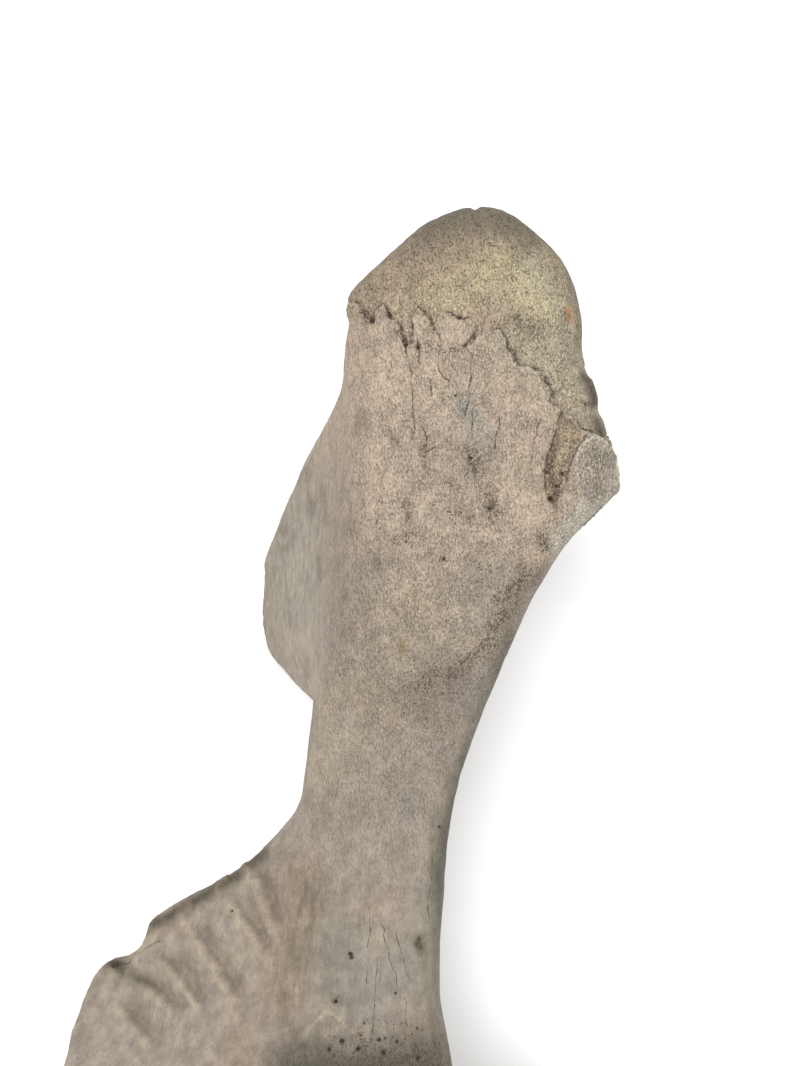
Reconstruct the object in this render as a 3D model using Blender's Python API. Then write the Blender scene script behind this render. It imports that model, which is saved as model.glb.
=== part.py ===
"""Right hip bone of an adult cow, life size, lying on its inner side.

It is one fused bone: ilium, ischium and pubis. The outer side faces up. X runs from the back's side of
the bone to the belly's side, Y towards the head and Z up from the floor. Points are in millimetres from
a spot on the floor under the middle of the ilium, and the finished mesh is in metres, moved so that its
origin is on the floor at the middle of its box.
"""

import math

import bmesh
import bpy
import numpy as np

MM = 0.001

# Driving sizes of the bone, in millimetres and degrees.
ACETABULUM_CENTRE = (-3.0, -195.0, 124.0)
ACETABULUM_AXIS = (0.25, -0.28, 0.92)
ACETABULUM_RIM_RADIUS = 35.0
ACETABULUM_LIP = 6.5
SOCKET_RADIUS = 33.0
SOCKET_OFFSET = 7.0
FOSSA_RADIUS = 13.0
FOSSA_DEPTH = 23.0
NOTCH = {"angle": -75.0, "width": 12.0, "depth": 17.0, "reach": (8, 47)}
SMALL_NOTCH = {"angle": 8.0, "width": 9.0, "depth": 5.0, "reach": (26, 46)}
FLOOR_TURN = 41.3
FORAMEN_CENTRE = (32.0, -46.0, 57.0)
FORAMEN_LENGTH = 92.0
FORAMEN_WIDTH = 64.0
FORAMEN_SLOPE = 24.0

# How finely the bone is meshed, in millimetres.
GRID_STEP = 3.0
VOXEL = 2.2
SMOOTH_ROUNDS = 10
TRIANGLES = 9800

# The ilium. Each station runs across the bone, from its belly side edge over the gluteal line to its back
# side edge, and the stations follow it from the socket to the crest: x, y, z, half thickness.
ILIUM = [
    [
        (22, -196, 106, 14), (2, -200, 108, 15), (-18, -202, 108, 15),
        (-30, -202, 107, 13), (-40, -201, 105, 11), (-46, -200, 102, 9),
    ],
    [
        (15.5, -153, 111, 13), (-1, -156, 116, 14), (-16, -156, 115, 14),
        (-26, -155, 112, 13), (-35, -153, 108, 11), (-44, -152, 104, 8),
    ],
    [
        (12, -127, 112, 12), (-2, -126, 116, 14), (-15, -125, 115, 14),
        (-24, -123, 112, 13), (-32, -121, 108, 10), (-40, -120, 105, 8),
    ],
    [
        (14, -97, 114, 12), (0, -98, 117, 14), (-13, -98, 117, 14),
        (-22, -97, 114, 13), (-31, -95, 110, 11), (-40, -93, 108, 8),
    ],
    [
        (18, -72, 121, 11), (4, -73, 122, 13), (-9, -74, 121, 13),
        (-18, -73, 118, 12), (-24.5, -72, 114, 11), (-31, -70, 109, 9),
    ],
    [
        (27, -48, 135, 9), (11, -49, 133, 11), (-5, -48, 131, 12),
        (-16, -46, 124, 12), (-20.5, -45, 113, 10), (-24, -45, 100, 8),
    ],
    [
        (38, -25, 148, 8), (18, -26, 147, 10), (-4, -22, 146, 11),
        (-16, -20, 130, 10), (-22.5, -23, 101, 9), (-26, -27, 72, 7),
    ],
    [
        (50, -5, 157, 8), (26, -3, 157, 9), (-3, 2, 157, 10),
        (-17, 5, 132, 8), (-30, 3, 86, 8), (-42, -2, 38, 8),
    ],
    [
        (64, 14, 168, 9), (33, 24, 170, 8), (-3, 28, 168, 9),
        (-16, 30, 136, 7), (-33, 29, 80, 7), (-54, 20, 16, 9),
    ],
    [
        (61, 42, 176, 11), (33, 56, 186, 11), (-3, 56, 178, 10),
        (-15, 53, 140, 7), (-34, 52, 84, 7), (-57, 45, 14, 9),
    ],
    [
        (51, 68, 184, 10), (27, 92, 192, 10), (-8, 84, 182, 9),
        (-15, 75, 148, 7), (-35, 71, 92, 7), (-58, 60, 30, 8),
    ],
]

# The thick outer corner of the wing with the small horn at its lower end, and the blunt inner corner:
# x, y, z, radius.
TUBER_COXAE = [
    (-10, 77, 184, 9), (8, 87, 188, 13), (26.5, 91, 192, 17), (40, 76, 190, 17.5), (46, 53, 183, 15.5),
    (55, 32, 175, 12), (62.5, 19, 170, 8.5),
]
TUBER_COXAE_HORN = [(47, 3, 161, 6), (54, 9, 166, 8), (62, 17, 170, 8.5)]
TUBER_SACRALE = [(-44, 10, 32, 8), (-49, 20, 17, 10), (-52, 34, 10, 11.5), (-53, 46, 11, 11), (-52, 57, 26, 8)]

# The ischiadic spine, a thin crest over the socket. Each station runs from its root to its sharp edge.
SPINE = [
    [(-20, -70, 118, 9), (-26, -73, 115, 7), (-31, -75, 112, 5), (-34, -76, 110, 4)],
    [(-22, -96, 116, 11), (-34, -94, 114, 8), (-44, -93, 111, 5), (-52, -92, 109, 3.2)],
    [(-24, -118, 114, 12), (-44, -110, 112, 7), (-64, -104, 107, 4.5), (-80, -106, 103, 3.4)],
    [(-25, -130, 113, 13), (-48, -122, 111, 6.5), (-68, -116, 106, 4), (-83.5, -116, 102, 3.2)],
    [(-26, -144, 112, 13), (-54, -136, 110, 6.5), (-79, -129, 104, 3.6), (-99, -124, 99.5, 2.8)],
    [(-27, -180, 110, 13), (-58, -176, 108, 6.5), (-84, -170, 102, 3.6), (-107, -165, 96, 2.5)],
    [(-32, -206, 108, 13), (-60, -206, 107, 7), (-82, -204, 102, 4), (-101, -202, 97, 2.8)],
    [(-45, -230, 107, 11), (-62, -233, 106, 8), (-76, -236, 104, 6), (-88, -238, 102, 4)],
    [(-60, -252, 108, 9), (-70, -257, 108, 8), (-79, -262, 108, 6), (-88, -266, 108, 4)],
]

# Ischium and pubis are drawn in the axes of the pelvic floor, from the middle of the socket towards the
# tail, up towards the back and out from the mid line: tail, up, out, half thickness. The stations of the
# arm run from its lower to its upper edge, and those of the floor from the socket to the mid line.
ISCHIUM_ARM = [
    [(12, -24, 102, 11), (8, 2, 108, 14), (6, 28, 110, 12)],
    [(48, -20, 102, 9), (48, 2, 109, 11), (48, 26, 109, 9)],
    [(84, -18, 103, 8), (86, 3, 110, 10), (88, 22, 110, 8)],
    [(120, -14, 106, 8), (124, 4, 113, 11), (128, 22, 114, 8)],
    [(160, -12, 110, 11), (164, 5, 120, 15), (168, 28, 119, 10)],
    [(188, -10, 112, 12), (192, 6, 122, 15), (196, 32, 119, 11)],
]
PELVIC_FLOOR = [
    [
        (-26, 14, 112, 12), (-33, -4, 106, 10), (-38, -24, 82, 9),
        (-40, -42, 54, 8), (-36, -55, 26, 8), (-25, -61, -3, 9),
    ],
    [
        (-10, 10, 112, 13), (-14, -10, 103, 12), (-16, -31, 80, 8),
        (-18, -48, 53, 6.5), (-18, -57, 26, 7), (-16, -61, -3, 9),
    ],
    [
        (30, 4, 110, 12), (28, -20, 101, 11), (25, -38, 78, 6),
        (24, -52, 52, 5), (24, -57, 26, 5.5), (24, -58, -3, 9),
    ],
    [
        (76, 4, 110, 9), (76, -16, 105, 9), (75, -30, 80, 6.5),
        (74, -41, 52, 5.5), (74, -47, 26, 6), (74, -49, -3, 8.5),
    ],
    [
        (112, 6, 113, 10), (112, -13, 107, 10), (111, -24, 82, 7),
        (110, -32, 54, 6), (109, -37, 26, 6.5), (106, -39, -3, 8.5),
    ],
    [
        (152, 8, 116, 12), (150, -12, 109, 12), (146, -19, 85, 8),
        (142, -26, 57, 6.5), (136, -31, 28, 7), (124, -34, -3, 8.5),
    ],
    [
        (188, 8, 118, 14), (190, -10, 111, 13), (178, -15, 88, 9),
        (163, -21, 58, 7.5), (148, -26, 28, 7.5), (131, -30, -3, 8.5),
    ],
]
ILIOPUBIC_EMINENCE = [(-34, -8, 104, 10), (-40, -17, 90, 10), (-42, -28, 74, 8)]
SYMPHYSIS_RIDGE = [(-16, -63, 2, 7), (40, -62, 2, 7.5), (88, -50, 2, 7), (122, -36, 2, 7)]
TUBER_ISCHIADICUM = [
    [(184, 12, 120, 17), (196, 24, 120, 15), (201, 37, 118, 12)],
    [(180, 6, 128, 17), (186, 5, 138, 14), (188, 4, 146, 12)],
    [(186, 0, 116, 17), (197, -11, 111, 14), (203, -18, 107, 12)],
    [(201, 36, 118, 11), (197, 22, 132, 12), (189, 6, 145, 12)],
    [(189, 5, 145, 12), (198, -6, 128, 12), (203, -17, 108, 12)],
    [(203, -16, 108, 12), (207, 10, 116, 15), (201, 35, 118, 12)],
]


def catmull(points, at):
    """The smooth curve through a row of points, read at places from 0 to the number of spans."""
    points = np.asarray(points, float)
    padded = np.concatenate([[2 * points[0] - points[1]], points, [2 * points[-1] - points[-2]]])
    span = np.clip(np.floor(at).astype(int), 0, len(points) - 2)
    t = (at - span).reshape(-1, *[1] * (points.ndim - 1))
    a, b, c, d = (padded[span + k] for k in range(4))
    return 0.5 * (2 * b + (c - a) * t + (2 * a - 5 * b + 4 * c - d) * t**2 + (3 * b - a - 3 * c + d) * t**3)


def crowded(count, spans):
    """Places along a curve that lie closest together at its two ends."""
    return (0.5 - 0.5 * np.cos(np.linspace(0, math.pi, count))) * spans


def edge_distance(grid):
    """How far each point of a grid lies from the grid's nearest edge."""
    steps = [np.linalg.norm(np.diff(grid, axis=k), axis=2) for k in (0, 1)]
    found = []
    for k, step in enumerate(steps):
        start = np.insert(np.cumsum(step, axis=k), 0, 0, axis=k)
        found += [start, start.take([-1], axis=k) - start]
    return np.minimum.reduce(found)


def add_object(name, points, faces, collection):
    mesh = bpy.data.meshes.new(name)
    mesh.from_pydata([tuple(p) for p in np.asarray(points) * MM], [], [tuple(f) for f in faces])
    work = bmesh.new()
    work.from_mesh(mesh)
    bmesh.ops.recalc_face_normals(work, faces=work.faces)
    work.to_mesh(mesh)
    work.free()
    made = bpy.data.objects.new(name, mesh)
    collection.objects.link(made)
    return made


def plate(name, stations, collection):
    """A bone plate with round edges. Each station is a row of x, y, z, half thickness."""
    stations = np.asarray(stations, float)
    length = np.linalg.norm(np.diff(stations[:, :, :3], axis=0), axis=2).sum(0).max()
    width = np.linalg.norm(np.diff(stations[:, :, :3], axis=1), axis=2).sum(1).max()
    rows, columns = (max(9, int(size / GRID_STEP * 1.3)) for size in (length, width))
    grid = catmull(stations, crowded(rows, len(stations) - 1))
    grid = catmull(grid.swapaxes(0, 1), crowded(columns, stations.shape[1] - 1)).swapaxes(0, 1)
    middle, half = grid[:, :, :3], grid[:, :, 3]
    across = np.cross(np.gradient(middle, axis=0), np.gradient(middle, axis=1))
    across /= np.linalg.norm(across, axis=2, keepdims=True)
    round_off = np.clip(edge_distance(middle) / half, 0, 1)
    rise = (half * np.sqrt(1 - (1 - round_off) ** 2))[:, :, None] * across
    upper = np.arange(rows * columns).reshape(rows, columns)
    lower = upper.copy()
    lower[1:-1, 1:-1] = rows * columns + np.arange((rows - 2) * (columns - 2)).reshape(rows - 2, -1)
    points = np.concatenate([(middle + rise).reshape(-1, 3), (middle - rise)[1:-1, 1:-1].reshape(-1, 3)])
    faces = []
    for side in (upper, lower[:, ::-1]):
        corners = [side[:-1, :-1], side[1:, :-1], side[1:, 1:], side[:-1, 1:]]
        faces += np.stack([c.ravel() for c in corners], axis=1).tolist()
    return add_object(name, points, faces, collection)


def end_cap(end, inner):
    """The stations of the half ball beyond the end of an arm, from its tip inwards."""
    outward = (end[:3] - inner[:3]) / np.linalg.norm(end[:3] - inner[:3])
    stations = []
    for rise in np.radians((75, 50, 25)):
        stations.append([*(end[:3] + outward * end[3] * math.sin(rise)), end[3] * math.cos(rise)])
    return stations


def rod(name, stations, collection, sides=20):
    """A round arm through points of x, y, z, radius, closed by a half ball at each end."""
    stations = np.asarray(stations, float)
    reach = np.linalg.norm(np.diff(stations[:, :3], axis=0), axis=1).sum()
    spine = catmull(stations, np.linspace(0, len(stations) - 1, max(8, int(reach / GRID_STEP))))
    spine = np.concatenate([end_cap(spine[0], spine[1]), spine, end_cap(spine[-1], spine[-2])[::-1]])
    along = np.gradient(spine[:, :3], axis=0)
    along /= np.linalg.norm(along, axis=1, keepdims=True)
    side = np.cross(along, (0.31, 0.17, 0.93))
    side /= np.linalg.norm(side, axis=1, keepdims=True)
    turn = np.linspace(0, 2 * math.pi, sides, endpoint=False)[None, :, None]
    ring = side[:, None] * np.cos(turn) + np.cross(along, side)[:, None] * np.sin(turn)
    points = (spine[:, None, :3] + ring * spine[:, None, 3:]).reshape(-1, 3)
    faces = [list(range(sides)), list(range(len(points) - sides, len(points)))]
    for row in range(len(spine) - 1):
        for k in range(sides):
            a, b = row * sides + k, row * sides + (k + 1) % sides
            faces.append([a, b, b + sides, a + sides])
    return add_object(name, points, faces, collection)


def from_floor(points):
    """Points given as tail, up and out from the socket, in the bone's own axes."""
    points = np.array(points, float)
    turn = math.radians(FLOOR_TURN)
    tail, up = points[..., 0].copy(), points[..., 1].copy()
    points[..., 0] = ACETABULUM_CENTRE[0] - math.sin(turn) * tail - math.cos(turn) * up
    points[..., 1] = ACETABULUM_CENTRE[1] - math.cos(turn) * tail + math.sin(turn) * up
    return points


def axis_frame(axis, turn_degrees):
    """Three unit vectors: one across the axis at the given turn, the other across it, and the axis."""
    along = np.array(axis, float) / np.linalg.norm(axis)
    first = np.cross((0, 1, 0), along)
    first /= np.linalg.norm(first)
    second = np.cross(along, first)
    turn = math.radians(turn_degrees)
    across = math.cos(turn) * first + math.sin(turn) * second
    return across, np.cross(along, across), along


def turned(name, profile, centre, frame, collection, sides=48):
    """A shape turned round an axis, from pairs of radius and height that start and end on the axis."""
    across, other, along = frame
    points = [np.array(centre) + along * profile[0][1]]
    for radius, height in profile[1:-1]:
        for k in range(sides):
            turn = 2 * math.pi * k / sides
            outward = math.cos(turn) * across + math.sin(turn) * other
            points.append(np.array(centre) + radius * outward + along * height)
    points.append(np.array(centre) + along * profile[-1][1])
    last = len(points) - 1
    faces = []
    for k in range(sides):
        after = (k + 1) % sides
        faces.append([0, 1 + k, 1 + after])
        faces.append([last, last - sides + after, last - sides + k])
        for row in range(len(profile) - 3):
            a, b = 1 + row * sides + k, 1 + row * sides + after
            faces.append([a, a + sides, b + sides, b])
    return add_object(name, points, faces, collection)


def socket_body(collection):
    """The thick bone round the hip socket, with its raised lip."""
    rim, lip = ACETABULUM_RIM_RADIUS, ACETABULUM_LIP
    lip_arc = [(rim + lip * math.cos(a), lip * math.sin(a)) for a in np.radians(np.arange(-60, 181, 20))]
    back = [(0, -39), (14, -38), (27, -33), (37, -21)]
    frame = axis_frame(ACETABULUM_AXIS, 0)
    return turned("socket_body", [*back, *lip_arc, (0, 0)], ACETABULUM_CENTRE, frame, collection)


def block(name, centre, frame, reach, half_width, rise, collection):
    """A box that runs out from a centre, between two distances and two heights."""
    across, other, along = frame
    points = []
    for a in reach:
        for b in (-half_width, half_width):
            for c in rise:
                points.append(np.array(centre) + across * a + other * b + along * c)
    faces = [(0, 1, 3, 2), (4, 6, 7, 5), (0, 4, 5, 1), (2, 3, 7, 6), (0, 2, 6, 4), (1, 5, 7, 3)]
    return add_object(name, points, faces, collection)


def socket_cutters(collection):
    """The ball shaped hollow of the socket, its rough pit, and the notches in its rim."""
    centre = np.array(ACETABULUM_CENTRE)
    frame = axis_frame(ACETABULUM_AXIS, NOTCH["angle"])
    across, other, along = frame
    arc = [(SOCKET_RADIUS * math.sin(a), -SOCKET_RADIUS * math.cos(a)) for a in np.radians(np.arange(0, 181, 12))]
    turned("socket_hollow", arc, centre + along * SOCKET_OFFSET, frame, collection)
    depth, radius = FOSSA_DEPTH, FOSSA_RADIUS
    pit = [(0, -depth - 7), (radius * 0.6, -depth - 6), (radius, -depth), (radius, 0), (0, 0)]
    turned("socket_pit", pit, centre + across * 5, frame, collection)
    for notch in (NOTCH, SMALL_NOTCH):
        frame = axis_frame(ACETABULUM_AXIS, notch["angle"])
        rise = (-notch["depth"], 14)
        block("socket_notch", centre, frame, notch["reach"], notch["width"] / 2, rise, collection)


def foramen_cutter(collection, sides=40):
    """The oval opening through the pelvic floor, beside the mid line."""
    slope = math.radians(FORAMEN_SLOPE)
    points = []
    for height in (-30, 30):
        for k in range(sides):
            turn = 2 * math.pi * k / sides
            tail = FORAMEN_LENGTH / 2 * math.cos(turn)
            out = FORAMEN_WIDTH / 2 * math.sin(turn)
            up = out * math.sin(slope) + height * math.cos(slope)
            points.append((tail, up, out * math.cos(slope) - height * math.sin(slope)))
    points = from_floor(np.array(points) + FORAMEN_CENTRE)
    faces = [list(range(sides)), list(range(sides, 2 * sides))]
    for k in range(sides):
        after = (k + 1) % sides
        faces.append((k, after, sides + after, sides + k))
    return add_object("obturator_foramen", points, faces, collection)


def clear_scene():
    for old in list(bpy.data.objects):
        bpy.data.objects.remove(old)


def new_collection(name):
    made = bpy.data.collections.new(name)
    bpy.context.scene.collection.children.link(made)
    return made


def boolean(obj, operation, collection):
    step = obj.modifiers.new(operation.title(), "BOOLEAN")
    step.operation = operation
    step.operand_type = "COLLECTION"
    step.collection = collection
    step.solver = "EXACT"


def apply_modifiers(obj):
    graph = bpy.context.evaluated_depsgraph_get()
    obj.data = bpy.data.meshes.new_from_object(obj.evaluated_get(graph))
    obj.modifiers.clear()


def drop(collection):
    for old in list(collection.objects):
        bpy.data.objects.remove(old)
    bpy.data.collections.remove(collection)


def join_bone():
    """All the pieces fused into one rough closed bone."""
    pieces, cutters = new_collection("pieces"), new_collection("cutters")
    bone = plate("os_coxae", ILIUM, bpy.context.scene.collection)
    rod("tuber_coxae", TUBER_COXAE, pieces)
    rod("tuber_coxae_horn", TUBER_COXAE_HORN, pieces)
    rod("tuber_sacrale", TUBER_SACRALE, pieces)
    plate("spine", SPINE, pieces)
    socket_body(pieces)
    plate("ischium_arm", from_floor(ISCHIUM_ARM), pieces)
    plate("pelvic_floor", from_floor(PELVIC_FLOOR), pieces)
    rod("iliopubic_eminence", from_floor(ILIOPUBIC_EMINENCE), pieces)
    rod("symphysis_ridge", from_floor(SYMPHYSIS_RIDGE), pieces)
    for stations in TUBER_ISCHIADICUM:
        rod("tuber_ischiadicum", from_floor(stations), pieces)
    socket_cutters(cutters)
    foramen_cutter(cutters)
    boolean(bone, "UNION", pieces)
    boolean(bone, "DIFFERENCE", cutters)
    apply_modifiers(bone)
    drop(pieces)
    drop(cutters)
    return bone


def keep_largest_surface(obj):
    """Drops every loose scrap of the mesh but the biggest."""
    work = bmesh.new()
    work.from_mesh(obj.data)
    unseen = set(work.verts)
    groups = []
    while unseen:
        group = set()
        edge = [unseen.pop()]
        while edge:
            vert = edge.pop()
            group.add(vert)
            near = {e.other_vert(vert) for e in vert.link_edges} & unseen
            unseen -= near
            edge += near
        groups.append(group)
    largest = max(groups, key=len)
    bmesh.ops.delete(work, geom=[v for v in work.verts if v not in largest], context="VERTS")
    work.to_mesh(obj.data)
    work.free()


def soften(obj):
    """Grows the pieces together, with the round inner corners of living bone."""
    remesh = obj.modifiers.new("Remesh", "REMESH")
    remesh.mode = "VOXEL"
    remesh.voxel_size = VOXEL * MM
    smooth = obj.modifiers.new("Smooth", "SMOOTH")
    smooth.factor = 0.6
    smooth.iterations = SMOOTH_ROUNDS
    apply_modifiers(obj)
    keep_largest_surface(obj)


def thin_out(obj):
    """Fewer triangles, kept where the bone bends most."""
    faces = sum(len(p.vertices) - 2 for p in obj.data.polygons)
    thin = obj.modifiers.new("Decimate", "DECIMATE")
    thin.ratio = TRIANGLES / faces
    apply_modifiers(obj)


def set_on_floor(obj):
    """Flattens what would pass the floor and moves the origin to the middle of the foot of the box."""
    co = np.array([v.co for v in obj.data.vertices])
    co[:, 2] = np.maximum(co[:, 2], 0)
    low, high = co.min(0), co.max(0)
    co -= ((low[0] + high[0]) / 2, (low[1] + high[1]) / 2, 0)
    obj.data.vertices.foreach_set("co", co.astype(np.float32).ravel())
    obj.data.update()


def bone_material():
    made = bpy.data.materials.new("bone")
    made.use_nodes = True
    shader = made.node_tree.nodes["Principled BSDF"]
    shader.inputs["Base Color"].default_value = (0.42, 0.35, 0.28, 1)
    shader.inputs["Roughness"].default_value = 0.75
    shader.inputs["Metallic"].default_value = 0.0
    return made


def main():
    clear_scene()
    bone = join_bone()
    soften(bone)
    thin_out(bone)
    set_on_floor(bone)
    bone.data.shade_smooth()
    bone.data.materials.clear()
    bone.data.materials.append(bone_material())


main()
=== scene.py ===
"""The looks of a cow's right hip bone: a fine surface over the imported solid, and dry, weathered bone.

Marks that show in the photograph are given as pixels of its 800 x 1066 frame and put where the camera's
ray meets the bone. Sizes on the bone are in millimetres.
"""

import math

import bmesh
import bpy
import numpy as np
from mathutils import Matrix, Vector
from mathutils.bvhtree import BVHTree


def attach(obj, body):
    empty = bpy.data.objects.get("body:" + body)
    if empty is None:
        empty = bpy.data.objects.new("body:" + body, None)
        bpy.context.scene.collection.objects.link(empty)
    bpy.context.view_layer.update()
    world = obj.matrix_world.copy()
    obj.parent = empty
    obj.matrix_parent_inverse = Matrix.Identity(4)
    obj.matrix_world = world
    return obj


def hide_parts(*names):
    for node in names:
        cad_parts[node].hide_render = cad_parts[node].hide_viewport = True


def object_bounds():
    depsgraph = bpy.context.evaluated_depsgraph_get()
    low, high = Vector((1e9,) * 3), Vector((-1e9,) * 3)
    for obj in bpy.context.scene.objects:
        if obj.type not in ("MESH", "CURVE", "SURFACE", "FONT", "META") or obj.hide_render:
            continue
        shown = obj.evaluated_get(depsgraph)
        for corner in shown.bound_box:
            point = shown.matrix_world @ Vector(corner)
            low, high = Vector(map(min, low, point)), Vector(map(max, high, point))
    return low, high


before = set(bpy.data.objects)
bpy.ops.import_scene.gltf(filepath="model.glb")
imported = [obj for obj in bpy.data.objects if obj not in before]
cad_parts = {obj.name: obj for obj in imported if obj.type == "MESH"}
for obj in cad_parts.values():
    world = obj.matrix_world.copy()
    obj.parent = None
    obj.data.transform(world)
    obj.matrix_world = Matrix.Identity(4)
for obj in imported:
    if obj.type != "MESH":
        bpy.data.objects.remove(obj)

CAD_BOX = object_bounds()
MM = 0.001

# The photograph's camera.
PHOTO_WIDTH = 800
PHOTO_HEIGHT = 1066
FOCAL_PIXELS = 1066
CAMERA_TARGET = np.array([52.1, 131.6, 168.0])
CAMERA_DISTANCE = 336.0
CAMERA_TILT = math.radians(27)
FORWARD = np.array([0.0, math.sin(CAMERA_TILT), -math.cos(CAMERA_TILT)])
UPWARD = np.array([0.0, math.cos(CAMERA_TILT), math.sin(CAMERA_TILT)])
RIGHT = np.array([1.0, 0.0, 0.0])
CAMERA_PLACE = CAMERA_TARGET - FORWARD * CAMERA_DISTANCE

# Marks of the photo are measured in its plane: a pixel is about this many millimetres on the bone, and
# depth counts for a share only, so that a mark near the bone's outline keeps its shape in the picture.
PIXEL_MM = 0.32
DEPTH_SHARE = 0.06

# Places on the bone, in millimetres.
SOCKET_CENTRE = np.array([49.1, -63.4, 124.0])
SOCKET_AXIS = np.array([0.25, -0.28, 0.92]) / np.linalg.norm([0.25, -0.28, 0.92])
FLOOR_TURN = math.radians(41.3)
TAIL = np.array([-math.sin(FLOOR_TURN), -math.cos(FLOOR_TURN), 0.0])
INNER_CORNER = np.array([-1.0, 170.0, 12.0])
TUBER_START = 187.0

# Further, in millimetres, than any mark reaches.
FAR = 50.0

# Marks of the photo fade in where a normal's part towards the camera rises from TURN_START to TURN_END, and
# fade out from FADE_START to FADE_END pixels below the photo's lower edge.
TURN_START = -0.22
TURN_END = -0.03
FADE_START = 30
FADE_END = 90

# Squeezes the length of the bone, so that streaks run lengthwise.
LENGTHWISE = np.diag([1.0, 0.3, 1.0])

# How fine the surface is, in millimetres.
COARSE_STEP = 1.15
SMOOTH_ROUNDS = 60

# Marks that show in the photograph, as its pixels.
# The ragged border between the shell and the porous cap at the outer corner of the wing.
CAP_BORDER = [
    (325, 300), (345, 307), (355, 302), (365, 312), (373, 321), (376, 308), (385, 304), (388, 315),
    (398, 323), (402, 333), (406, 345), (412, 339), (413, 318), (418, 308), (423, 311), (427, 316),
    (433, 324), (437, 315), (447, 312), (455, 315), (460, 318), (470, 317), (476, 322), (477, 330),
    (466, 345), (484, 330), (497, 328), (506, 337), (508, 348), (514, 358), (521, 367), (530, 367),
    (542, 371), (541, 378), (549, 385), (554, 393), (549, 400), (556, 406), (563, 411), (574, 420),
    (583, 432), (592, 431), (601, 434), (612, 442), (660, 450),
]
CAP_OUTSIDE = [(660, 60), (325, 60)]

# The fibrous groove beside the horn, and the horn's grey facet.
GROOVE = [
    (561, 411), (573, 421), (583, 434), (580, 444), (572, 458), (569, 474), (562, 497), (553, 507),
    (547, 499), (544, 487), (545, 472), (547, 458), (551, 445), (557, 430),
]
HORN_FACET = [
    (583, 440), (592, 435), (600, 440), (607, 448), (612, 457), (615, 467), (617, 480), (614, 492),
    (606, 499), (594, 504), (584, 498), (577, 484), (574, 466), (577, 450),
]

# The grooves between the ribs of the ischiadic spine.
RIB_GROOVES = [
    [(254, 858), (264, 884), (273, 908), (281, 930)],
    [(229, 888), (239, 902), (252, 921), (262, 937), (274, 954)],
    [(192, 917), (203, 935), (214, 952), (224, 968), (234, 985), (243, 1006)],
    [(158, 948), (174, 962), (185, 976), (196, 992), (208, 1010)],
    [(140, 972), (158, 988), (172, 1000), (184, 1014)],
    [(116, 996), (136, 1016), (150, 1034), (160, 1050)],
]

# Hairline cracks.
CRACKS = [
    [(405, 345), (409, 362), (411, 385), (414, 404), (413, 440)],
    [(418, 345), (419, 356), (420, 364)],
    [(427, 314), (434, 322), (438, 334), (440, 340)],
    [(476, 331), (466, 345)],
    [(466, 345), (473, 356), (471, 372), (469, 388), (471, 396), (467, 408), (466, 416)],
    [(438, 368), (444, 378), (449, 382)],
    [(474, 412), (473, 426), (471, 438)],
    [(499, 418), (497, 434), (494, 448)],
    [(540, 418), (535, 438), (533, 450)],
    [(423, 428), (428, 440), (425, 452), (434, 447)],
    [(431, 380), (431, 396)],
]

# The finest cracks, on the shaft and beside the notch of the spine.
HAIRLINES = [
    [(370, 907), (370, 930), (368, 948)],
    [(376, 912), (383, 927), (386, 948), (389, 958), (394, 971), (397, 993)],
    [(395, 933), (401, 951), (405, 968), (411, 981)],
    [(377, 957), (378, 971), (375, 985), (374, 1003), (372, 1038)],
    [(405, 998), (406, 1026)],
    [(432, 852), (430, 886), (428, 919)],
    [(366, 964), (368, 983)],
    [(118, 970), (127, 965), (136, 955), (148, 948), (160, 942)],
]

# Wider crevices, at the groove's two edges and in the border of the cap.
CREVICES = [
    [(560, 416), (556, 430), (552, 445), (547, 459), (545, 473), (546, 487)],
    [(586, 435), (580, 444), (573, 457), (569, 470), (567, 484)],
    [(592, 432), (600, 436), (607, 444), (613, 454)],
    [(475, 333), (469, 341), (465, 346)], [(404, 343), (406, 352)], [(418, 340), (419, 352)],
    [(363, 312), (372, 322)], [(386, 308), (390, 318)], [(430, 316), (435, 330)],
]

# Small holes of blood vessels and deep pits: pixel and radius in millimetres.
HOLES = [
    ((350, 954), 0.8), ((351, 957), 0.7), ((334, 1001), 0.6), ((342, 1041), 0.9), ((328, 1049), 0.8),
    ((358, 1049), 0.8), ((384, 1052), 0.8), ((419, 1058), 0.6), ((360, 1035), 0.5), ((364, 1023), 0.35),
    ((379, 1039), 0.5), ((385, 1038), 0.35), ((397, 1041), 0.4), ((396, 993), 0.35), ((418, 1028), 0.4),
    ((440, 827), 0.5), ((115, 964), 1.5), ((232, 911), 0.5), ((371, 321), 1.0), ((405, 344), 0.9),
    ((418, 347), 0.7), ((459, 318), 0.8), ((465, 345), 0.7), ((388, 314), 0.6), ((515, 361), 0.6),
    ((546, 472), 0.9), ((562, 473), 0.8), ((550, 499), 1.1), ((557, 486), 0.7), ((552, 462), 0.6),
    ((587, 404), 0.6), ((456, 396), 0.35), ((444, 559), 0.4), ((489, 508), 0.4), ((471, 458), 0.4),
]

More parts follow.
